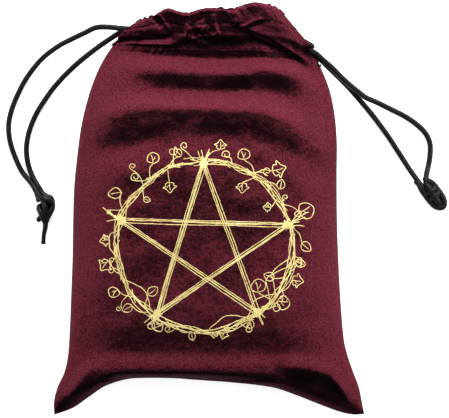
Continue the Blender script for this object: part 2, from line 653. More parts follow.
def tube_piece(name, ring, normals, material):
    """A tube through rings of points, closed at both ends by a fan."""
    count, sides = ring.shape[:2]
    faces = tube_quads(count, sides).tolist()
    first, last = count * sides, count * sides + 1
    middles = ring.mean(1)
    verts = np.concatenate([ring.reshape(-1, 3), middles[:1], middles[-1:]])
    end_normals = unit(np.array([middles[0] - middles[1], middles[-1] - middles[-2]]))
    vertex_normals = np.concatenate([normals.reshape(-1, 3), end_normals])
    last_ring = (count - 1) * sides
    for j in range(sides):
        following = (j + 1) % sides
        faces.append([first, following, j])
        faces.append([last, last_ring + j, last_ring + following])
    return mesh_object(name, verts, faces, vertex_normals, material), verts


# ------------------------------------------------------------------ shader helpers
def set_inputs(tree, node, inputs):
    """Links sockets and sets plain values."""
    for key, value in inputs.items():
        if isinstance(value, bpy.types.NodeSocket):
            tree.links.new(value, node.inputs[key])
        else:
            node.inputs[key].default_value = value


def add(tree, kind, inputs=None, **props):
    node = tree.nodes.new(kind)
    for key, value in props.items():
        setattr(node, key, value)
    set_inputs(tree, node, inputs or {})
    return node


def new_material(name):
    material = bpy.data.materials.new(name)
    material.use_nodes = True
    tree = material.node_tree
    place = add(tree, "ShaderNodeTexCoord").outputs["Object"]
    return material, tree, tree.nodes["Principled BSDF"], place


def grain_noise(tree, place, scale, detail, roughness=0.5, output=0):
    inputs = {"Vector": place, "Scale": scale, "Detail": detail, "Roughness": roughness}
    return add(tree, "ShaderNodeTexNoise", inputs).outputs[output]


def bump(tree, height, strength, distance, **normal):
    inputs = {"Height": height, "Strength": strength, "Distance": distance, **normal}
    return add(tree, "ShaderNodeBump", inputs).outputs[0]


def remap(tree, value, source, target, clamp=True):
    inputs = {"Value": value, "From Min": source[0], "From Max": source[1],
              "To Min": target[0], "To Max": target[1]}
    return add(tree, "ShaderNodeMapRange", inputs, clamp=clamp).outputs[0]


def calculate(tree, operation, *values):
    inputs = dict(enumerate(values))
    return add(tree, "ShaderNodeMath", inputs, operation=operation).outputs[0]


def vector(tree, operation, *values, output=0, **named):
    inputs = {**dict(enumerate(values)), **named}
    return add(tree, "ShaderNodeVectorMath", inputs, operation=operation).outputs[output]


def ramp(tree, factor, stops):
    node = add(tree, "ShaderNodeValToRGB")
    elements = node.color_ramp.elements
    while len(elements) < len(stops):
        elements.new(0.5)
    for element, (position, colour) in zip(elements, stops):
        element.position = position
        element.color = (*colour, 1)
    tree.links.new(factor, node.inputs[0])
    return node.outputs[0]


# ------------------------------------------------------------------ materials
# how far the pile is seen from the side, brightness of its red
PILE_TONES = [(0.0, 0.0035), (0.04, 0.008), (0.065, 0.013), (0.094, 0.025), (0.125, 0.043),
              (0.165, 0.064), (0.24, 0.076), (0.42, 0.084), (0.75, 0.098)]


def wine(red):
    """The velvet's colour at a brightness; the darkest tones are a little greyer."""
    grey = 0.10 * min(1, 0.004 / red)
    return (red, red * (0.135 + grey), red * (0.235 + grey))


def velvet(name):
    """Short crushed pile: dark along the pile, bright across it, with single tufts that glint."""
    material, tree, bsdf, place = new_material(name)
    view = add(tree, "ShaderNodeNewGeometry").outputs["Incoming"]
    tuft = grain_noise(tree, place, scale=1500.0, detail=2.0, roughness=0.7)
    grain = grain_noise(tree, place, scale=620.0, detail=2.5, roughness=0.65)
    crush = grain_noise(tree, place, scale=170.0, detail=3.0, roughness=0.55)
    fine = bump(tree, grain, strength=0.30, distance=0.0006)
    normal = bump(tree, crush, strength=0.22, distance=0.0014, Normal=fine)
    # pile direction: the normal, laid over towards the mouth and ruffled
    brushed = add(tree, "ShaderNodeAttribute", attribute_name="lay").outputs["Fac"]
    lean = vector(tree, "SCALE", (0.06, 0.46, 0.0), Scale=brushed)
    turned = vector(tree, "MULTIPLY", normal, (0.58, 1.0, 1.0))
    lay = vector(tree, "ADD", lean, turned)
    ruffle = grain_noise(tree, place, scale=210.0, detail=2.0, output="Color")
    centred = vector(tree, "SUBTRACT", ruffle, (0.5, 0.5, 0.5))
    small = vector(tree, "SCALE", centred, Scale=0.26)
    pile = vector(tree, "NORMALIZE", vector(tree, "ADD", lay, small))
    facing = vector(tree, "DOT_PRODUCT", pile, view, output="Value")
    side = calculate(tree, "SUBTRACT", 1.0, calculate(tree, "ABSOLUTE", facing))
    # tufts stand more or less upright than their neighbours, so the answer to the angle is grainy
    uneven = remap(tree, grain, source=(0.28, 0.72), target=(0.62, 1.38), clamp=False)
    total = calculate(tree, "MULTIPLY", side, uneven)
    colour = ramp(tree, total, [(position, wine(red)) for position, red in PILE_TONES])
    spark = remap(tree, tuft, source=(0.30, 0.70), target=(0.30, 1.80), clamp=False)
    # laid towards the bottom the pile shows its dark side
    mouthward = add(tree, "ShaderNodeSeparateXYZ", {0: lay}).outputs[1]
    dark = remap(tree, mouthward, source=(-0.10, 0.38), target=(0.26, 1.0))
    spark = calculate(tree, "MULTIPLY", spark, dark)
    set_inputs(tree, bsdf, {
        "Base Color": vector(tree, "SCALE", colour, Scale=spark),
        "Roughness": 0.92,
        "Specular IOR Level": 0.03,
        "Sheen Weight": 0.0,
        "Sheen Roughness": 0.35,
        "Sheen Tint": (0.85, 0.22, 0.33, 1),
        "Normal": normal})
    return material


def cloth_back(name):
    """Knitted backing of the velvet: tiny wales, no shine."""
    material, tree, bsdf, place = new_material(name)
    wales = add(tree, "ShaderNodeTexWave",
                {"Vector": place, "Scale": 480.0, "Distortion": 1.5, "Detail": 2.0},
                wave_type="BANDS", bands_direction="X").outputs[0]
    mottle = grain_noise(tree, place, scale=300.0, detail=3.0)
    set_inputs(tree, bsdf, {
        "Base Color": ramp(tree, mottle, [(0.3, (0.035, 0.006, 0.011)),
                                          (0.7, (0.075, 0.013, 0.022))]),
        "Normal": bump(tree, wales, strength=0.5, distance=0.0002),
        "Roughness": 0.95})
    return material


def cord_material(name):
    """Black satin cord with broken highlights."""
    material, tree, bsdf, place = new_material(name)
    yarn = grain_noise(tree, place, scale=900.0, detail=3.0, roughness=0.7)
    patches = grain_noise(tree, place, scale=260.0, detail=2.0)
    set_inputs(tree, bsdf, {
        "Base Color": ramp(tree, yarn, [(0.35, (0.0010, 0.0010, 0.0010)),
                                        (0.60, (0.0036, 0.0035, 0.0034)),
                                        (0.74, (0.030, 0.029, 0.027))]),
        "Roughness": remap(tree, patches, source=(0.3, 0.7), target=(0.30, 0.52)),
        "Specular IOR Level": 0.16,
        "Normal": bump(tree, yarn, strength=0.5, distance=0.0003)})
    return material


def thread_material(name, dark, light):
    material, tree, bsdf, place = new_material(name)
    fibres = grain_noise(tree, place, scale=1800.0, detail=2.0)
    set_inputs(tree, bsdf, {
        "Base Color": ramp(tree, fibres, [(0.3, dark), (0.7, light)]),
        "Normal": bump(tree, fibres, strength=0.6, distance=0.0001),
        "Roughness": 0.55})
    return material


def print_material(name):
    """Opaque pale gold ink sitting in the pile: slightly uneven cover."""
    material, tree, bsdf, place = new_material(name)
    fine = grain_noise(tree, place, scale=1300.0, detail=2.0, roughness=0.7)
    broad = grain_noise(tree, place, scale=190.0, detail=2.0)
    cover = calculate(tree, "MULTIPLY", calculate(tree, "ADD", fine, broad), 0.5)
    set_inputs(tree, bsdf, {
        "Base Color": ramp(tree, cover, [(0.30, (0.34, 0.20, 0.085)), (0.40, (0.58, 0.43, 0.16)),
                                         (0.48, (0.70, 0.56, 0.22)), (0.62, (0.80, 0.68, 0.30))]),
        "Roughness": 0.5,
        "Specular IOR Level": 0.25,
        "Normal": bump(tree, fine, strength=0.5, distance=0.0003)})
    return material


VELVET = velvet("velvet_pile")
LINING = cloth_back("velvet_back")
CORD = cord_material("satin_cord")
THREAD = thread_material("red_thread", dark=(0.009, 0.0016, 0.0027), light=(0.028, 0.005, 0.008))
GOLD = print_material("gold_print")


# ------------------------------------------------------------------ the two sheets
def build_sheet(side, sheet):
    """One body piece, and a neck piece on each side of the middle."""
    body = sheet_block(side + "_body", sheet, (0, SPLIT + 1), (0, ACROSS_COUNT))
    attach(body, "pouch")
    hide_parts(side + "_panel")
    for half, columns in (("left", (0, MIDDLE + 1)), ("right", (MIDDLE, ACROSS_COUNT))):
        rows = (SPLIT, ROW_COUNT)
        neck = sheet_block("%s_neck_%s" % (side, half), sheet, rows, columns)
        share = sheet.share[slice(*rows), slice(*columns)].ravel()
        weights(neck)
        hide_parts(side + "_casing", side + "_ruffle")


sheets = {}
for side in ("front", "back"):
    sheets[side] = make_sheet(side == "front")
    build_sheet(side, sheets[side])

# ------------------------------------------------------------------ cord loops
# x, y, z along each strand, from inside the slit to the knot
STRANDS = {
    "left_cord_outer": [
        (-34.4, 92.6, 14.4), (-38.0, 92.9, 13.8), (-43.0, 93.5, 13.4), (-49.0, 93.4, 12.3),
        (-54.6, 91.0, 10.4), (-61.0, 88.2, 8.1), (-66.6, 85.4, 6.2), (-74.1, 79.9, 3.9),
        (-81.0, 71.7, 2.0), (-85.1, 64.3, 1.5), (-88.1, 56.9, 1.4), (-89.5, 49.9, 1.35),
        (-88.9, 42.8, 1.35), (-86.6, 35.5, 1.35), (-83.2, 28.4, 1.5), (-79.2, 23.6, 2.4),
        (-77.2, 20.4, 3.4), (-76.0, 17.4, 4.1), (-75.4, 15.0, 4.4)],
    "left_cord_inner": [
        (-34.8, 91.8, 10.0), (-38.4, 91.2, 10.2), (-43.2, 88.3, 9.7), (-47.6, 85.4, 8.7),
        (-54.6, 80.3, 6.7), (-60.8, 75.1, 4.9), (-67.9, 67.9, 3.2), (-73.3, 60.8, 2.1),
        (-77.6, 53.6, 1.5), (-80.3, 46.4, 1.35), (-81.4, 39.2, 1.35), (-80.6, 32.2, 1.35),
        (-78.6, 26.6, 1.8), (-75.8, 21.8, 3.0), (-74.0, 18.8, 4.0), (-73.4, 15.0, 4.4)],
    "right_cord_outer": [
        (46.6, 83.6, 14.4), (50.2, 81.3, 13.8), (53.4, 78.5, 13.5), (57.4, 75.1, 12.6),
        (61.0, 71.6, 11.0), (64.9, 68.2, 8.9), (68.8, 65.2, 6.9), (73.0, 62.2, 5.0),
        (77.6, 60.3, 3.4), (84.2, 57.2, 2.0), (91.0, 53.8, 1.5), (96.6, 49.9, 1.35),
        (100.4, 46.0, 1.35), (102.3, 41.6, 1.35), (102.4, 36.5, 1.35), (101.6, 31.6, 1.7),
        (100.7, 28.0, 2.8), (100.2, 24.9, 4.0), (100.4, 22.4, 4.4)],
    "right_cord_inner": [
        (46.6, 83.4, 10.0), (50.0, 80.8, 10.2), (53.4, 77.9, 9.6), (57.2, 74.3, 8.3),
        (61.0, 70.8, 6.5), (64.9, 67.0, 4.8), (68.8, 62.8, 3.4), (73.6, 57.4, 2.2),
        (78.5, 51.3, 1.5), (83.4, 44.6, 1.35), (88.7, 36.4, 1.5), (93.0, 29.6, 2.4),
        (95.6, 25.8, 3.3), (97.6, 23.0, 4.1), (99.0, 21.4, 4.4)],
}
STRAND_RADIUS = 1.26
STRAND_SIDES = 16
STRAND_CUTS = (0.36, 0.80)      # where a strand is divided, as parts of its length


def build_strand(name, points):
    """A strand in three pieces, each bent between two neighbouring bodies."""
    side = name.split("_")[0]
    ring, normals, place = cord_rings(path(points)(np.linspace(0, 1, 900)), STRAND_RADIUS,
                                      STRAND_SIDES, phase=1.1 if "inner" in name else 0.0)
    from_exit = np.linalg.norm(ring.mean(1) - EXIT[side], axis=1)
    exit_place = float(place[np.argmin(from_exit)])
    part = place / place[-1]
    cuts = [0] + [int(np.argmin(np.abs(part - cut))) for cut in STRAND_CUTS] + [len(part) - 1]
    for i, label in enumerate(("exit", "middle", "knot_end")):
        piece = slice(cuts[i], cuts[i + 1] + 1)
        obj, _ = tube_piece("%s_%s" % (name, label), ring[piece], normals[piece], CORD)
        at = place[piece]
        if label == "exit":
            share = smooth(at, exit_place, at[-1])
        elif label == "middle":
            share = (at - at[0]) / (at[-1] - at[0])
            share = 0.5 * share + 0.5 * smooth(share)
        else:
            share = smooth(at, at[0], at[-1] - 2.0)
        share = np.repeat(share, STRAND_SIDES)
        weights(obj)
        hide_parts(name + "_near", name + "_far")


for name, points in STRANDS.items():
    build_strand(name, points)

# ------------------------------------------------------------------ cord runs inside the casing
CASING = path([
    (-34.2, 91.3), (-24.0, 90.0), (-10.0, 88.9), (4.0, 88.6), (18.0, 88.7), (29.0, 88.4),
    (34.5, 88.1), (39.2, 87.4), (43.3, 86.2), (46.8, 84.2)])
RUN_OFFSET = 1.4            # the left cord runs this far on the mouth side, the right one below
RUN_RADIUS = 1.2


def casing_frame(place, offset):
    """Point beside the casing's middle line, and the line's direction."""
    direction = unit(CASING(min(1, place + 0.01)) - CASING(max(0, place - 0.01)))
    x, y = CASING(place)
    return np.array([x - direction[1] * offset, y + direction[0] * offset]), direction


def run_path(side):
    """In at one slit, over to the far side above the middle height, and back below it."""
    from_left = side == "left"
    offset = RUN_OFFSET if from_left else -RUN_OFFSET
    order = np.linspace(0.02, 0.985, 21)[::1 if from_left else -1]
    inside = EXIT[side] - OUT[side] * 3.6
    lift = np.array([0, 0, 2.2])
    go, back = [], []
    for place in order:
        (x, y), _ = casing_frame(place, offset)
        arch = 1.9 + 2.3 * math.sin(math.pi * place)
        go.append((x, y, MOUTH_Z + arch))
        back.append((x, y, MOUTH_Z - arch))
    end, direction = casing_frame(order[-1], offset)
    onward = direction if from_left else -direction
    turn = [(*(end + onward * reach), MOUTH_Z + rise)
            for reach, rise in ((1.6, 2.1), (2.2, 0.0), (1.6, -2.1))]
    return [tuple(inside + lift)] + go + turn + back[::-1] + [tuple(inside - lift)]


def build_run(side):
    """Legs on each half of the bag are separate pieces, so that they gather with the cloth."""
    points, _ = resample(path(run_path(side))(np.linspace(0, 1, 1500)), 0.6)
    switches = np.flatnonzero(np.diff((points[:, 0] < 0).astype(int))) + 1
    points[switches, 0] = 0.0
    ends = [0, *switches, len(points) - 1]
    for i, (first, last) in enumerate(zip(ends, ends[1:])):
        leg = points[first:last + 1]
        ring, normals, _ = cord_rings(leg, RUN_RADIUS, 12)
        obj, verts = tube_piece("%s_cord_run_%d" % (side, i), ring, normals, CORD)
        weights(obj)
        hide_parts(side + "_cord_run")


for side in ("left", "right"):
    build_run(side)

# ------------------------------------------------------------------ knots
# Left knot, about its origin in the bag's own axes: turn, cord radius, x, y, z points
LEFT_KNOT = np.array([-72.5, 13.0, 4.2])
LEFT_AXES = np.eye(3)
LEFT_TURNS = [
    ("over_turn", 1.35, [
        (-5.2, 8.6, -0.6), (-3.6, 5.8, 0.3), (-2.4, 4.0, 1.5), (-0.2, 3.3, 2.5), (2.3, 2.3, 2.0),
        (3.1, 0.4, 0.3), (2.4, -1.0, -1.6), (0.0, -0.6, -2.4), (-2.2, 0.0, -1.6),
        (-2.9, -0.8, 0.3), (-2.2, -2.6, 1.5), (-1.1, -4.8, 1.6), (-0.7, -7.0, 0.7)]),
    ("side_turn", 1.4, [
        (-3.6, 9.2, -0.6), (-1.9, 6.2, -0.4), (0.4, 4.4, 0.2), (2.3, 3.6, 0.2), (3.1, 1.6, -0.5),
        (3.0, -0.9, 0.5), (2.0, -3.2, 1.0), (0.8, -5.4, 0.8), (0.2, -7.6, 0.0)]),
    ("middle_turn", 1.3, [
        (-1.6, 3.4, 0.6), (-0.5, 1.6, 1.7), (0.1, -0.8, 2.4), (0.2, -3.2, 2.0), (-0.2, -5.6, 1.3),
        (-0.4, -7.8, 0.3)]),
    ("back_turn", 1.2, [
        (-2.4, 3.0, -1.2), (0.2, 3.2, -2.2), (2.4, 1.0, -1.9), (1.6, -2.2, -1.9),
        (-0.8, -3.4, -1.5), (-2.0, -4.6, -0.7), (-2.9, -5.9, -0.3), (-3.9, -6.8, -0.2)])]
LEFT_TAIL = [(-0.2, -6.4, 0.4), (0.0, -8.4, 0.0), (-0.3, -10.6, -0.9), (-0.9, -13.2, -1.9),
             (-1.1, -15.2, -2.6), (-1.2, -17.2, -2.8)]

# Right knot, a barrel: its own axes are across, along the barrel, and up
RIGHT_KNOT = np.array([99.3, 23.6, 4.3])
BARREL = unit(np.array([0.61, -0.79, 0.0]))
RIGHT_AXES = np.stack([(-BARREL[1], BARREL[0], 0.0), BARREL, (0, 0, 1.0)], 1)
WRAP = [(2.75 * math.cos(angle), 3.6 + 2.6 * angle / (2 * math.pi) + 0.9 * math.sin(angle + 0.5),
         2.45 * math.sin(angle)) for angle in np.linspace(0.4, 0.4 + 4.1 * math.pi, 60)]
RIGHT_TURNS = [
    ("left_side", 1.45, [
        (-2.4, -3.4, -1.2), (-2.1, -0.8, -0.4), (-2.7, 2.0, 0.2), (-2.9, 6.0, 0.5),
        (-2.8, 9.8, 0.4), (-2.0, 12.4, 0.3), (0.1, 13.9, 0.2), (1.9, 12.6, 0.2), (2.8, 10.0, 0.2),
        (3.0, 6.0, 0.2), (2.9, 2.6, 0.0), (1.9, 0.2, -0.2), (1.4, -2.0, -0.6)]),
    ("middle", 1.4, [
        (0.4, 0.6, 0.4), (0.3, 3.4, 1.7), (-0.2, 7.0, 2.2), (-0.4, 10.2, 1.9), (0.0, 12.4, 0.9)]),
    ("under", 1.4, [(-0.6, 1.4, -1.2), (-0.2, 4.4, -2.1), (0.3, 8.0, -2.2), (0.1, 11.4, -1.2)]),
    ("wrap", 1.15, WRAP)]


def knot_turns(body, origin, axes, turns):
    for label, radius, points in turns:
        line = path(points)(np.linspace(0, 1, 600)) @ axes.T + origin
        ring, normals, _ = cord_rings(line, radius, 14)
        # the last three rings at each end close in
        for j in range(3):
            shrink = math.sqrt(1 - (1 - (j + 0.35) / 3) ** 2)
            for i in (j, -1 - j):
                centre = ring[i].mean(0)
                ring[i] = centre + (ring[i] - centre) * shrink
        obj, _ = tube_piece("%s_%s" % (body, label), ring, normals, CORD)
        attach(obj, body)
        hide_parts(body)


def knot_core(body, centre, axes, radii, phase):
    """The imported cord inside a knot: a lumpy closed core under the turns."""
    polar, around = np.meshgrid(np.linspace(0.0, math.pi, 26),
                                np.linspace(0, 2 * math.pi, 28, endpoint=False), indexing="ij")
    directions = np.stack([np.sin(polar) * np.cos(around), np.sin(polar) * np.sin(around),
                           np.cos(polar)], -1)
    lumps = 1 + 0.05 * np.cos(5 * around + 3 * polar + phase) * np.sin(polar)
    ring = (directions * lumps[..., None] * np.array(radii)) @ axes.T + centre
    for end, beside in ((0, 1), (-1, -2)):
        middle = ring[beside].mean(0)
        ring[end] = middle + (ring[beside] - middle) * 0.05
    ring[:, :, 2] = np.maximum(ring[:, :, 2], 0.15)
    obj, _ = tube_piece(body + "_core", ring, directions @ axes.T, CORD)
    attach(obj, body)


def left_tail():
    """The long end hanging out of the left knot, cut square and a little splayed."""
    line = path(LEFT_TAIL)(np.linspace(0, 1, 400)) + LEFT_KNOT
    ring, normals, place = cord_rings(line, 1.16, 16, braid=0.05)
    centre = ring.mean(1, keepdims=True)
    part = (place / place[-1])[:, None, None]
    scale = 1.06 - 0.22 * smooth(part, 0.1, 0.75) + 0.16 * smooth(part, 0.86, 1.0)
    obj, _ = tube_piece("left_cord_tail", centre + (ring - centre) * scale, normals, CORD)
    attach(obj, "left_knot")
    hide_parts("left_cord_tails")


knot_turns("left_knot", LEFT_KNOT, LEFT_AXES, LEFT_TURNS)
knot_core("left_knot", LEFT_KNOT + np.array([0.1, -0.6, -0.2]), LEFT_AXES,
          radii=(2.6, 4.6, 2.6), phase=0.4)
left_tail()
knot_turns("right_knot", RIGHT_KNOT, RIGHT_AXES, RIGHT_TURNS)
knot_core("right_knot", RIGHT_KNOT + RIGHT_AXES @ np.array([0.0, 6.6, -0.1]), RIGHT_AXES,
          radii=(2.9, 6.2, 2.7), phase=1.7)

# ------------------------------------------------------------------ sewing
STITCH_LENGTH = 2.1
STITCH_GAP = 0.75
THREAD_RADIUS = 0.2
STITCH_ROWS = (1.045, 1.60)     # up the sheet, just above the neck and beyond the cords
STITCH_RINGS, STITCH_SIDES = 7, 6


def on_sheet(sheet, along, up):
    """Points and normals of a sheet's outer face at 0..1 along and 0..2 up."""
    row = np.interp(up, ROWS_UP, np.arange(ROW_COUNT))
    column = np.interp(along, ALONG, np.arange(ACROSS_COUNT))
    i = np.minimum(row.astype(int), ROW_COUNT - 2)
    j = np.minimum(column.astype(int), ACROSS_COUNT - 2)
    part_i, part_j = (row - i)[:, None], (column - j)[:, None]

    def mix(grid):
        low = grid[i, j] * (1 - part_j) + grid[i, j + 1] * part_j
        high = grid[i + 1, j] * (1 - part_j) + grid[i + 1, j + 1] * part_j
        return low * (1 - part_i) + high * part_i

    return mix(sheet.outer), unit(mix(sheet.normals))


def stitches(line, line_normals, rise):
    """Short stitches along a line, each end dipping into the cloth.

    Gives vertices, faces, normals and each vertex's place along the line, 0..1."""
    place = running(line)
    verts, faces, normals, places = [], [], [], []
    dip = THREAD_RADIUS * 2.6 * np.abs(np.linspace(-1, 1, STITCH_RINGS)) ** 4
    radii = np.full(STITCH_RINGS, THREAD_RADIUS)
    radii[[0, -1]] *= 0.6
    quads = tube_quads(STITCH_RINGS, STITCH_SIDES)
    sides = np.arange(STITCH_SIDES)
    base = 0
    start = STITCH_GAP * 0.5
    while start + STITCH_LENGTH < place[-1]:
        at = np.linspace(start, start + STITCH_LENGTH, STITCH_RINGS)
        normal = interp_rows(at, place, line_normals)
        centre = interp_rows(at, place, line) + normal * (rise - dip)[:, None]
        forward = unit(np.gradient(centre, axis=0))
        sideways = unit(np.cross(forward, normal))
        out = spokes(STITCH_SIDES, sideways, np.cross(sideways, forward))
        verts.append((centre[:, None] + radii[:, None, None] * out).reshape(-1, 3))
        normals.append(out.reshape(-1, 3))
        places.append(np.repeat(at / place[-1], STITCH_SIDES))
        faces += (base + quads).tolist()
        faces.append((base + sides[::-1]).tolist())
        faces.append((base + (STITCH_RINGS - 1) * STITCH_SIDES + sides).tolist())
        base += STITCH_RINGS * STITCH_SIDES
        start += STITCH_LENGTH + STITCH_GAP
    return np.concatenate(verts), faces, np.concatenate(normals), np.concatenate(places)


def casing_stitches(side, half, start, end):
    verts, faces, normals, places = [], [], [], []
    base = 0
    for up in STITCH_ROWS:
        along = np.linspace(start, end, 400)
        line, line_normals = on_sheet(sheets[side], along, np.full(400, up))
        row_verts, row_faces, row_normals, place = stitches(line, line_normals, rise=-0.06)
        verts.append(row_verts)
        normals.append(row_normals)
        places.append(start + (end - start) * place)
        faces += [[i + base for i in face] for face in row_faces]
        base += len(row_verts)
    obj = mesh_object("%s_casing_stitches_%s" % (side, half), np.concatenate(verts), faces,
                      np.concatenate(normals), THREAD)
    weights(obj)
    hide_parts(side + "_casing_stitches")


for side in ("front", "back"):
    casing_stitches(side, "left", 0.02, 0.5)
    casing_stitches(side, "right", 0.5, 0.98)

# seam allowances: first edge in from the seam, full width, half thickness, sewing line in
ALLOWANCE_INSET, ALLOWANCE_WIDTH, ALLOWANCE_HALF, SEWING_INSET = 1.5, 5.2, 0.62, 2.6


def build_seam(name, curve, start, end, count):
    """Two plies turned to the inside along a seam, with a row of stitches."""
    place = np.linspace(start, end, count)
    edge = curve(place)
    direction = unit(np.gradient(edge, axis=0))
    inward = np.stack([-direction[:, 1], direction[:, 0]], 1)
    if name == "left":
        inward = -inward
    if name == "bottom":
        z = seam_z(2 * place - 1, 0)
    else:
        z = seam_z(-1 if name == "left" else 1, place)
    index = np.arange(count)
    width = ALLOWANCE_WIDTH * np.clip(np.minimum(index, index[::-1]) / 12.0, 0.05, 1)
    # section: inwards over the top, back underneath; the top is slightly wavy
    reach = np.linspace(0, 1, 9)
    height = ALLOWANCE_HALF * np.sqrt(np.maximum(0.02, 1 - (2 * reach - 1) ** 6))
    reach = np.concatenate([reach, reach[::-1]])
    height = np.concatenate([height, -height[::-1]])
    ring = np.zeros((count, len(reach), 3))
    inset = ALLOWANCE_INSET + width[:, None] * reach
    ring[..., :2] = edge[:, None] + inward[:, None] * inset[..., None]
    wave = np.where(height > 0, 0.15 * np.sin(place[:, None] * 60 + reach), 0)
    ring[..., 2] = z[:, None] + height + wave
    normals = unit(ring - ring.mean(1, keepdims=True))
    if name != "left":
        ring, normals = ring[:, ::-1], normals[:, ::-1]
    line = np.column_stack([edge + inward * SEWING_INSET, z + 0.66])
    upward = np.tile([0.0, 0.0, 1.0], (count, 1))

    pieces = [("", 0, count - 1)]
    if name != "bottom":
        cut = int(np.argmin(np.abs(place - BODY_UP[SPLIT])))
        pieces = [("_low", 0, cut), ("_high", cut, count - 1)]
    for tag, first, last in pieces:
        piece = slice(first, last + 1)
        allowance, _ = tube_piece("%s_seam_allowance%s" % (name, tag), ring[piece],
                                  normals[piece], LINING)
        verts, faces, stitch_normals, part = stitches(line[piece], upward[piece], rise=0.05)
        sewing = mesh_object("%s_seam_stitches%s" % (name, tag), verts, faces, stitch_normals,
                             THREAD)
        if tag == "_high":
            weights(allowance)
            weights(sewing)
        else:
            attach(allowance, "pouch")
            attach(sewing, "pouch")
        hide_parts(name + "_seam_allowance")
        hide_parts(name + "_seam_stitches")


build_seam("left", LEFT, 0.02, 0.985, 150)
build_seam("right", RIGHT, 0.02, 0.985, 150)
build_seam("bottom", BOTTOM, 0.05, 0.95, 170)

HEM_RADIUS = 0.80


def build_slit(side, column, inward):
    """The rolled hem round a cord slit, and the bar tack at its foot."""
    front_edge = sheets["front"].outer[:, column]
    back_edge = sheets["back"].outer[:, column]
    neck = BODY_COUNT - 1
    rows = np.unique(np.linspace(neck + 2, ROW_COUNT - 2, 26).astype(int))
    foot = (front_edge[neck] + back_edge[neck]) / 2
    turn = [foot + np.array([0, 1.0, 1.4]) + inward * 0.3,
            foot + np.array([0, 0.6, -1.4]) + inward * 0.3]
    points = np.concatenate([front_edge[rows][::-1], turn, back_edge[rows]])
    line, _ = resample(path(points + inward * HEM_RADIUS)(np.linspace(0, 1, 700)), 0.5)
    part = np.linspace(0, 1, len(line))
    radius = HEM_RADIUS * (1 + 0.10 * noise(part * 90, 0, 77, 6.0))
    from_end = np.clip(np.abs(2 * part - 1) - 0.97, 0, 1) / 0.034
    radius = radius * np.sqrt(np.clip(1 - from_end, 0.15, 1))
    out = spokes(14, *side_normals(line))
    hem, _ = tube_piece(side + "_slit_hem", line[:, None] + radius[:, None, None] * out, out,
                        VELVET)
    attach(hem, side + "_slit")
    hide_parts(side + "_slit_hem")

    # close zigzag of thread over the foot of the slit
    part = np.linspace(-1, 1, 240)
    swing = np.sin(part * 48)
    zigzag = 0.55 * np.sign(swing) * np.abs(swing) ** 0.5 + 0.7
    line = (foot + np.outer(part * 2.0, [0, 0, 1.0]) + np.outer(zigzag, [0, 1.0, 0])
            - inward * 0.12 * np.sqrt(1 - 0.9 * part[:, None] ** 2))
    ring, normals, _ = cord_rings(line, THREAD_RADIUS, 6, braid=0.0)
    tack, _ = tube_piece(side + "_bar_tack", ring, normals, THREAD)
    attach(tack, side + "_slit")
    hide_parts(side + "_bar_tack")


build_slit("left", 0, np.array([1.0, 0, 0]))
build_slit("right", ACROSS_COUNT - 1, np.array([-1.0, 0, 0]))

# ------------------------------------------------------------------ printed emblem
# A plain five-pointed star in a ring of twined twigs with small leaves and tendrils, drawn in
# strokes on the view plane and laid on the front from the camera's place.
EMBLEM_CENTRE = np.array([-0.225, -4.95])
RING_RADII = np.array([39.69, 38.25])
STROKE_STEP = 0.495
INK_DEPTH = 0.12            # how far the sides of a stroke reach into the cloth

# Ring of twigs: wave height (part of the radius), waves, phase, stroke width, mean radius
TWIGS = [(0.016, 7, 0.2, 0.44, 0.978), (0.018, 9, 1.9, 0.44, 1.002), (0.032, 6, 3.4, 0.34, 1.018),
         (0.034, 11, 5.0, 0.32, 0.990), (0.014, 4, 2.2, 0.36, 1.010)]
# Star tips: degrees, part of the ring's radius
TIPS = [(90.6, 0.965), (162.5, 0.985), (236.0, 0.96), (307.5, 0.985), (14.8, 0.965)]
# Strokes of each star side: offset to the right of its direction, stroke width
STAR_STROKES = [(-0.945, 0.40), (0.09, 0.55), (0.9, 0.42), (0.405, 0.36)]
# Leaf outlines along and across the leaf: three-lobed, plain pointed oval, folded
LEAF_SHAPES = [
    [(0, 0), (0.25, 0.62), (0.55, 0.50), (0.62, 0.95), (0.98, 0.42), (1.45, 0.0), (0.98, -0.42),
     (0.62, -0.95), (0.55, -0.50), (0.25, -0.62)],
    [(0, 0), (0.35, 0.50), (0.85, 0.52), (1.40, 0.0), (0.85, -0.48), (0.35, -0.46)],
    [(0, 0), (0.15, 0.70), (0.75, 0.92), (1.35, 0.35), (1.15, -0.30), (0.45, -0.62)]]
OVAL = 1
# Leaves: degrees, part of the ring's radius, shape, size
OUTER_LEAVES = [
    (2, 1.17, 1, 3.843), (20, 1.21, 2, 4.941), (38, 1.15, 1, 3.294), (49, 1.24, 0, 4.392),
    (66, 1.18, 2, 3.5685), (81, 1.22, 0, 3.0195), (104, 1.16, 1, 3.0195), (121, 1.20, 2, 3.5685),
    (146, 1.20, 1, 4.392), (176, 1.15, 0, 3.0195), (189, 1.17, 0, 3.843), (207, 1.18, 2, 3.294),
    (221, 1.15, 1, 3.5685), (243, 1.11, 2, 3.5685), (262, 1.09, 1, 2.745), (283, 1.09, 0, 2.745),
    (322, 1.12, 2, 4.1175), (338, 1.14, 0, 3.5685), (350, 1.12, 1, 3.294)]
INNER_LEAVES = [
    (31, 0.86, 0, 2.5254), (60, 0.84, 0, 3.294), (118, 0.83, 0, 3.294), (141, 0.87, 1, 2.3058),
    (318, 0.80, 2, 4.392), (334, 0.86, 1, 3.5685), (222, 0.84, 1, 3.843)]
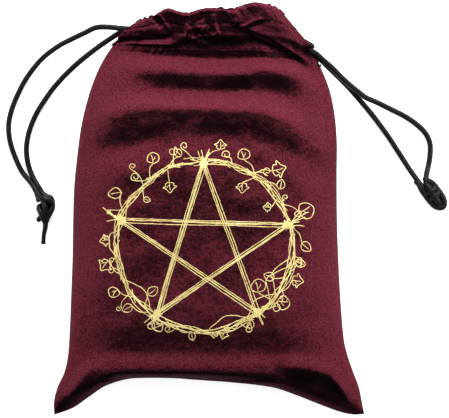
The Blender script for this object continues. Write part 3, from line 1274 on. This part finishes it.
# Tendrils: degrees at the root, part of the ring's radius at the coil, sweep in degrees, coil size
TENDRILS = [
    (12, 1.12, 8, 1.8), (58, 1.13, -7, 2.025), (72, 1.10, 5, 2.025), (96, 1.20, 5, 1.89),
    (112, 1.17, -4, 2.25), (128, 1.13, 6, 2.07), (134, 1.24, -3, 1.62), (155, 1.16, 5, 1.17),
    (170, 1.12, 5, 1.26), (200, 1.10, -5, 1.53), (213, 1.22, 4, 1.35), (232, 1.12, 5, 1.89),
    (252, 1.06, -5, 1.62), (272, 1.05, 5, 1.71), (294, 1.06, 5, 2.07), (301, 1.10, -4, 1.62),
    (312, 1.09, 6, 2.25), (330, 1.10, -5, 1.98), (344, 1.08, 5, 1.98), (356, 1.09, -5, 1.35),
    (27, 1.08, 5, 1.44), (184, 1.06, 5, 1.35)]
# Loops inside the ring: degrees, radius part at the root, radius part at the deepest point
LOOPS = [(346, 0.99, 0.80), (352, 0.99, 0.83), (300, 0.98, 0.86), (326, 1.0, 0.86),
         (231, 0.98, 0.86)]

rng = np.random.RandomState(20)
strokes = []                # points, width, lift above the cloth


def stroke(points, width, shake=0.0, close=False):
    points = np.array(points, float)
    if close:
        points = np.concatenate([points, points[:1]])
    points = path(points)(np.linspace(0, 1, max(12, 4 * len(points))))
    points, _ = resample(points, STROKE_STEP)
    if shake:
        index = np.arange(len(points))
        row = rng.randint(1000)
        shift = np.column_stack([noise(index, row, 3, 5.0), -noise(index, row, 8, 5.0)])
        points = points + shake * shift
    strokes.append((points, 0.88 * width, 0.05 + 0.11 * rng.rand()))


def ring_at(degrees, part=1.0):
    angle = math.radians(degrees)
    return EMBLEM_CENTRE + RING_RADII * part * np.array([math.cos(angle), math.sin(angle)])


def clockwise(angle):
    """Unit vector at an angle in radians, turned clockwise from +X."""
    return np.array([math.cos(angle), -math.sin(angle)])


def jitter(reach):
    x, y = rng.uniform(-reach, reach, 2)
    return np.array([x, -y])


def draw_twig_ring():
    degrees = np.linspace(0, 360, 130)
    for i, (wave, waves, phase, width, mean) in enumerate(TWIGS):
        radii = (mean + wave * np.sin(np.radians(degrees * waves) + phase)
                 + 0.005 * noise(degrees, 0, 90 + i, 14.0))
        points = [ring_at(*entry) for entry in zip(degrees, radii)]
        cut = rng.randint(0, 60)
        stroke(points[cut:cut + 74], width, shake=0.1575)
        stroke(points[cut + 70:] + points[1:max(3, cut - 2)], width, shake=0.1575)
    # bark ticks and crossing twigs
    for degree in range(6, 360, 17):
        at = degree + rng.uniform(-4, 4)
        stroke([ring_at(at, 0.965), ring_at(at + 4, 0.995), ring_at(at + 9, 1.032)], 0.42,
               shake=0.135)
        if rng.rand() < 0.6:
            stroke([ring_at(at + 3, 1.034), ring_at(at + 8, 1.0), ring_at(at + 14, 0.972)], 0.40,
                   shake=0.135)


def draw_star(tips):
    for i in range(5):
        start, end = tips[i], tips[(i + 2) % 5]
        direction = unit(end - start)
        right = np.array([direction[1], -direction[0]])
        for k, (offset, width) in enumerate(STAR_STROKES):
            if k == 3 and i % 2:
                continue
            start_off = offset + rng.uniform(-0.45, 0.45)
            end_off = offset + rng.uniform(-0.45, 0.45)
            start_over = rng.uniform(-0.45, 3.15)
            end_over = rng.uniform(-0.45, 3.15)
            inner = [start + (end - start) * part + right * (offset + rng.uniform(-0.27, 0.27))
                     for part in (0.33, 0.67)]
            stroke([start - direction * start_over + right * start_off, *inner,
                    end + direction * end_over + right * end_off], width, shake=0.1125)


def draw_burst(i, tip):
    """Short rays, long twig ends and a tight knot of rings at a tip of the star."""
    away = unit(tip - EMBLEM_CENTRE)
    for _ in range(12):
        ray = clockwise(rng.uniform(0, 2 * math.pi))
        length = rng.uniform(1.575, 3.15) * (1.35 if np.dot(ray, away) > 0.4 else 0.85)
        stroke([tip - ray * 1.44, tip + ray * length * 0.5, tip + ray * length], 0.52,
               shake=0.135)
    for _ in range(3 if i % 2 else 5):
        cosine, sine = clockwise(rng.uniform(-0.45, 0.45))
        ray = np.array([away[0] * cosine - away[1] * sine, away[0] * sine + away[1] * cosine])
        length = rng.uniform(5.85, 10.8) if i in (1, 4) else rng.uniform(4.05, 7.2)
        stroke([tip, tip + ray * length * 0.5 + jitter(0.45), tip + ray * length], 0.42,
               shake=0.135)
    for k in range(4):
        radius = 0.585 + 0.3375 * k
        stroke([tip + radius * clockwise(angle) for angle in np.linspace(0, 5.9, 12)], 0.62,
               shake=0.135)


def draw_leaf(root, degrees, size, shape):
    """A small leaf in outline with a vein or two, pointing along an angle."""
    angle = math.radians(degrees)
    forward = size * np.array([math.cos(angle), math.sin(angle)])
    right = size * np.array([math.sin(angle), -math.cos(angle)])
    stroke([root + x * forward + y * right for x, y in LEAF_SHAPES[shape]], 0.42, close=True,
           shake=0.1125)
    stroke([root, root + 0.7 * forward + 0.05 * right, root + 1.15 * forward], 0.36, shake=0.09)
    if shape != OVAL:
        stroke([root + 0.35 * forward, root + 0.60 * forward + 0.35 * right,
                root + 0.80 * forward + 0.42 * right], 0.34)


def draw_leaves():
    for degrees, part, shape, size in OUTER_LEAVES:
        base = ring_at(degrees, part - 0.07)
        root = ring_at(degrees - rng.choice([-1, 1]) * rng.uniform(7, 12), 1.0)
        bend = (root + base) / 2 + (base - EMBLEM_CENTRE) * 0.035
        stroke([root, bend, base], 0.40, shake=0.135)
        draw_leaf(base, degrees + rng.uniform(-45, 45), size, shape)
    for degrees, part, shape, size in INNER_LEAVES:
        base = ring_at(degrees, part + 0.02)
        root = ring_at(degrees + rng.uniform(-6, 6), 0.985)
        stroke([root, (root + base) / 2, base], 0.40, shake=0.135)
        draw_leaf(base, degrees + 180 + rng.uniform(-40, 40), size, shape)


def draw_tendrils():
    for degrees, part, sweep, coil in TENDRILS:
        root, end = ring_at(degrees, 1.0), ring_at(degrees + sweep, part)
        middle = (root + end) / 2 + jitter(1.35)
        # the degrees serve here only to start each coil at a different angle
        turns = [end + coil * (1 - turn / 8.5) * clockwise(turn * 1.25 + degrees)
                 for turn in np.arange(0, 6.3, 0.5)]
        stroke([root, middle] + turns, 0.40, shake=0.09)
    for degrees, outer, inner in LOOPS:
        middle = (outer + inner) / 2
        stroke([ring_at(degrees, outer), ring_at(degrees - 7, middle - 0.03),
                ring_at(degrees - 15, inner), ring_at(degrees - 22, middle),
                ring_at(degrees - 27, 0.98)], 0.40, shake=0.135)


front_outer = sheets["front"].outer
front_index = np.arange(front_outer.shape[0] * front_outer.shape[1])
front_tree = BVHTree.FromPolygons([Vector(point) for point in front_outer.reshape(-1, 3)],
                                  grid_quads(front_index.reshape(front_outer.shape[:2])).tolist())


def drape(points, lift):
    """View plane points laid on the front along the camera's rays; places and normals."""
    eye = Vector(CAMERA)
    places, normals = [], []
    for x, y in points:
        place, normal, _, _ = front_tree.ray_cast(eye, (Vector((x, y, VIEW_Z)) - eye).normalized())
        if place is None:
            place, normal = Vector((x, y, 20.0)), Vector((0, 0, 1))
        if normal.z < 0:
            normal = -normal
        places.append(np.array(place) + np.array(normal) * lift)
        normals.append(np.array(normal))
    return np.array(places), np.array(normals)


def build_emblem():
    """Each stroke is a low ribbon with five points to a section."""
    verts, faces = [], []
    base = 0
    for points, width, lift in strokes:
        count = len(points)
        direction = unit(np.gradient(points, axis=0))
        left = np.column_stack([-direction[:, 1], direction[:, 0]])
        half = width * 0.5 * (1.0 + 0.28 * noise(np.arange(count), rng.randint(1000), 6, 2.5))
        half[[0, -1]] *= 0.5
        left_top, left_normal = drape(points + left * half[:, None], lift)
        right_top, right_normal = drape(points - left * half[:, None], lift)
        crown, _ = drape(points, lift + 0.05)
        depth = lift + INK_DEPTH
        section = [left_top, crown, right_top, right_top - right_normal * depth,
                   left_top - left_normal * depth]
        verts.append(np.stack(section, 1).reshape(-1, 3))
        # quads run along the ribbon first, then round its section
        faces += (base + tube_quads(count, 5)[:, [0, 3, 2, 1]]).tolist()
        corners = np.arange(5)
        faces.append((base + corners).tolist())
        faces.append((base + 5 * (count - 1) + corners[::-1]).tolist())
        base += 5 * count
    emblem = mesh_object("print_emblem_ink", np.concatenate(verts), faces, None, GOLD)
    editable = bmesh.new()
    editable.from_mesh(emblem.data)
    bmesh.ops.recalc_face_normals(editable, faces=editable.faces)
    editable.to_mesh(emblem.data)
    editable.free()
    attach(emblem, "pouch")
    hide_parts("print_emblem")


draw_twig_ring()
star_tips = [ring_at(*tip) for tip in TIPS]
draw_star(star_tips)
for i, tip in enumerate(star_tips):
    draw_burst(i, tip)
draw_leaves()
draw_tendrils()
build_emblem()

# any CAD node still showing keeps its shape and gets a finished material
for name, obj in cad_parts.items():
    if not obj.hide_render:
        if "cord" in name or "knot" in name:
            material = CORD
        elif "stitch" in name or "tack" in name:
            material = THREAD
        else:
            material = VELVET
        obj.data.materials.clear()
        obj.data.materials.append(material)


# ------------------------------------------------------------------ floor, light, camera
FLOOR_HALF, FLOOR_Z = 3000.0, -0.3
SENSOR_WIDTH = 36.0


def build_floor():
    material, tree, bsdf, place = new_material("studio_floor")
    mottle = grain_noise(tree, place, scale=40.0, detail=2.0)
    set_inputs(tree, bsdf, {
        "Base Color": ramp(tree, mottle, [(0.3, (0.90, 0.90, 0.90)), (0.7, (0.93, 0.93, 0.93))]),
        "Roughness": 0.9,
        "Specular IOR Level": 0.1,
        "Emission Color": (1, 1, 1, 1),
        "Emission Strength": 0.62})
    corners = [(x * FLOOR_HALF, y * FLOOR_HALF, FLOOR_Z)
               for x, y in ((-1, -1), (1, -1), (1, 1), (-1, 1))]
    floor = mesh_object("studio_floor", corners, [[0, 1, 2, 3]], None, material,
                        shade_smooth=False)


def build_world():
    """White all round: full to the camera, dimmer as a light."""
    world = bpy.data.worlds.new("studio")
    world.use_nodes = True
    tree = world.node_tree
    rays = add(tree, "ShaderNodeLightPath")
    strength = add(tree, "ShaderNodeMapRange", {
        "Value": rays.outputs["Is Camera Ray"], "To Min": 0.62, "To Max": 1.0}).outputs[0]
    set_inputs(tree, tree.nodes["Background"], {0: (1.0, 1.0, 1.0, 1), 1: strength})
    scene.world = world


def area_light(name, location, size, energy):
    """A disk light, in metres and watts, aimed at the middle of the bag."""
    light = bpy.data.lights.new(name, "AREA")
    light.shape = "DISK"
    light.size = size
    light.energy = energy
    obj = bpy.data.objects.new(name, light)
    obj.location = location
    aim = Vector((0, 0, 0.02)) - Vector(location)
    obj.rotation_euler = aim.to_track_quat("-Z", "Y").to_euler()
    scene.collection.objects.link(obj)


def build_camera():
    """Straight above, looking down."""
    camera = bpy.data.cameras.new("camera")
    camera.lens = SENSOR_WIDTH * VIEW_DISTANCE / VIEW_WIDTH
    camera.sensor_width = SENSOR_WIDTH
    camera.clip_start = 0.05
    obj = bpy.data.objects.new("camera", camera)
    obj.location = CAMERA * MM
    obj.rotation_euler = (0, 0, 0)
    scene.collection.objects.link(obj)
    scene.camera = obj


build_floor()
build_world()
area_light("key", location=(0.24, 1.96, 1.48), size=1.1, energy=74.0)
area_light("side", location=(0.95, 0.25, 0.55), size=0.5, energy=5.0)
area_light("fill", location=(-0.8, 0.3, 0.6), size=0.6, energy=2.0)
build_camera()
scene.view_settings.view_transform = "Standard"

bpy.context.view_layer.update()
